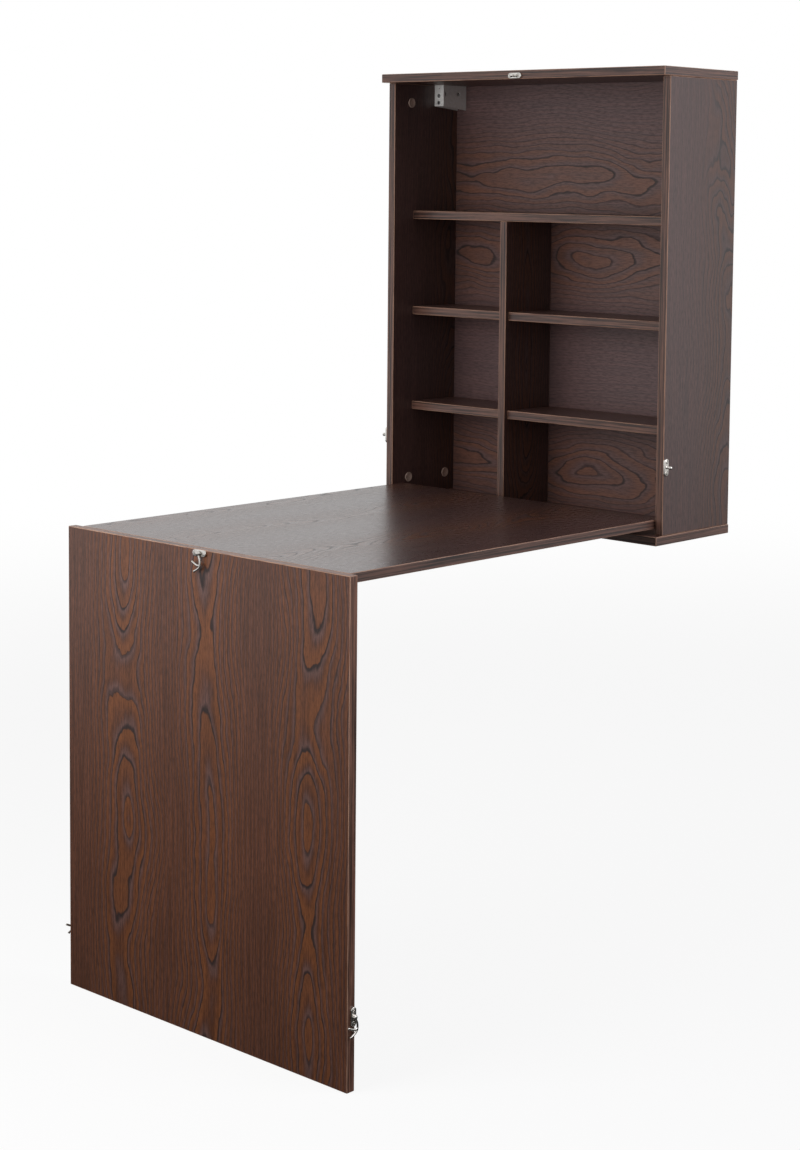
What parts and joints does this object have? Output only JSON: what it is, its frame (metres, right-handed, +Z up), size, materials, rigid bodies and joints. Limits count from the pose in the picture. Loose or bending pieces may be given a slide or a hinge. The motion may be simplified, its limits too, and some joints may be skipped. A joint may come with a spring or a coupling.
{
  "type": "fold-down wall desk",
  "caption": "Shelved wall cabinet in dark wood grain whose desktop folds down with a hinged leg panel and closes into a flat box held by swing hooks.",
  "frame": {"origin": "on the wall plane, at the centre of the screw holes of the wall plates", "axes": "+X to the right seen from the room, +Y into the wall, +Z up; the desk is open"},
  "size_m": [0.6574, 0.9129, 1.484],
  "materials": {
    "wood_board": "satin dark wood grain",
    "dowel_wood": "bare beech",
    "bright_nickel": "bright nickel plate",
    "hanger_steel": "satin zinc plate",
    "zinc": "zinc plated",
    "brown_plastic": "matte",
    "bush_plastic": "matte nylon"
  },
  "bodies": {
    "cabinet": {"top_panel": "wood_board", "bottom_panel": "wood_board", "left_side_panel": "wood_board", "right_side_panel": "wood_board", "back_panel": "wood_board", "upper_shelf": "wood_board", "centre_divider": "wood_board", "left_middle_shelf": "wood_board", "right_middle_shelf": "wood_board", "left_lower_shelf": "wood_board", "right_lower_shelf": "wood_board", "cam_locks": "zinc", "cam_bolts": "zinc", "cam_caps": "brown_plastic", "shelf_dowels": "dowel_wood", "left_hanger_housing": "hanger_steel", "right_hanger_housing": "hanger_steel", "left_hanger_arm": "hanger_steel", "right_hanger_arm": "hanger_steel", "hanger_adjusters": "zinc", "hanger_screws": "zinc", "left_wall_plate": "hanger_steel", "right_wall_plate": "hanger_steel", "top_keeper": "bright_nickel", "left_side_catch": "bright_nickel", "right_side_catch": "bright_nickel", "catch_screws": "bright_nickel", "left_pivot_bush": "bush_plastic", "right_pivot_bush": "bush_plastic"},
    "desktop": {"desktop_panel": "wood_board", "left_pivot_pin": "zinc", "right_pivot_pin": "zinc", "left_hinge_desk_leaf": "zinc", "right_hinge_desk_leaf": "zinc", "hinge_pins": "zinc", "desk_hinge_screws": "zinc"},
    "leg": {"leg_panel": "wood_board", "left_hinge_leg_leaf": "zinc", "right_hinge_leg_leaf": "zinc", "leg_hinge_screws": "zinc", "top_hook_plate": "bright_nickel", "left_hook_plate": "bright_nickel", "right_hook_plate": "bright_nickel", "hook_plate_screws": "bright_nickel"},
    "top_hook": {"top_hook": "bright_nickel"},
    "left_side_hook": {"left_side_hook": "bright_nickel"},
    "right_side_hook": {"right_side_hook": "bright_nickel"}
  },
  "joints": [
    {"name": "desk_fold", "type": "hinge", "parent": "cabinet", "child": "desktop", "pos_m": [0, -0.1749, -0.6695], "axis": [-1, 0, 0], "range_deg": [0, 90]},
    {"name": "leg_fold", "type": "hinge", "parent": "desktop", "child": "leg", "pos_m": [0, -0.8866, -0.6798], "axis": [1, 0, 0], "range_deg": [0, 90]},
    {"name": "top_hook_swing", "type": "hinge", "parent": "leg", "child": "top_hook", "pos_m": [0, -0.9044, -0.6675], "axis": [0, 1, 0], "range_deg": [-30, 180]},
    {"name": "left_hook_swing", "type": "hinge", "parent": "leg", "child": "left_side_hook", "pos_m": [-0.315, -0.8944, -1.296], "axis": [-1, 0, 0], "range_deg": [-20, 270]},
    {"name": "right_hook_swing", "type": "hinge", "parent": "leg", "child": "right_side_hook", "pos_m": [0.315, -0.8944, -1.296], "axis": [-1, 0, 0], "range_deg": [-20, 270]}
  ],
  "couplings": [
    {"joint": "leg_fold", "follows": "desk_fold", "ratio": 1}
  ]
}
